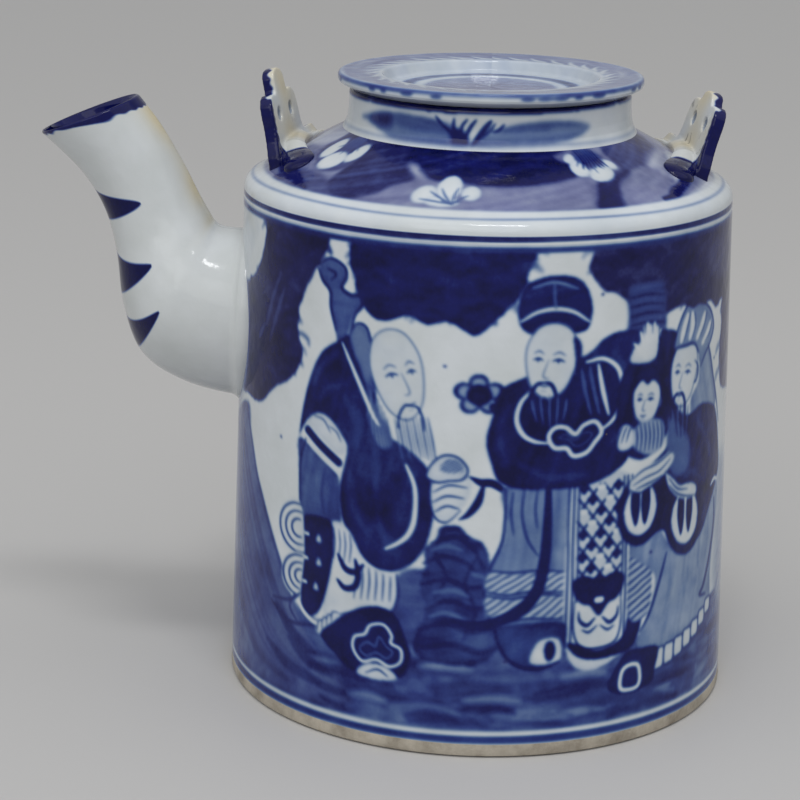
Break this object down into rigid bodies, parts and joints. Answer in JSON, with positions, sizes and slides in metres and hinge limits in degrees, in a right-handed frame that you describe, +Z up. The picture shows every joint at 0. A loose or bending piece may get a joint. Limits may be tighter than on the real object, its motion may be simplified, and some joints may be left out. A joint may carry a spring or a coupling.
{
  "type": "porcelain teapot",
  "caption": "Cylindrical glazed porcelain teapot with sloping shoulder, short neck, stout curved spout, pierced shoulder lugs for wire handles and a flat lift-off lid.",
  "frame": {"origin": "centre of the foot ring's resting plane, on the pot's axis", "axes": "+Z up along the pot's axis, -X towards the spout, the painted scene faces -Y"},
  "size_m": [0.2025, 0.147, 0.1784],
  "materials": {
    "white_glaze": "glossy clear glaze over white porcelain",
    "painted_glaze": "glossy clear glaze over cobalt painting",
    "cobalt_glaze": "glossy clear glaze over a dark cobalt ground",
    "lid_glaze": "glossy clear glaze over pale cobalt rings",
    "bare_porcelain": "matt, unglazed"
  },
  "bodies": {
    "pot": {"foot_ring": "bare_porcelain", "base_slab": "white_glaze", "drum_wall": "painted_glaze", "strainer": "white_glaze", "shoulder": "cobalt_glaze", "neck_collar": "white_glaze", "spout_front_half": "white_glaze", "spout_back_half": "white_glaze", "spout_side_lug": "cobalt_glaze", "far_side_lug": "cobalt_glaze"},
    "lid": {"lid_disc": "lid_glaze", "lid_collar": "white_glaze"}
  },
  "joints": [
    {"name": "lid_lift", "type": "slide", "parent": "pot", "child": "lid", "axis": [0, 0, 1], "range_m": [0, 0.05]}
  ]
}
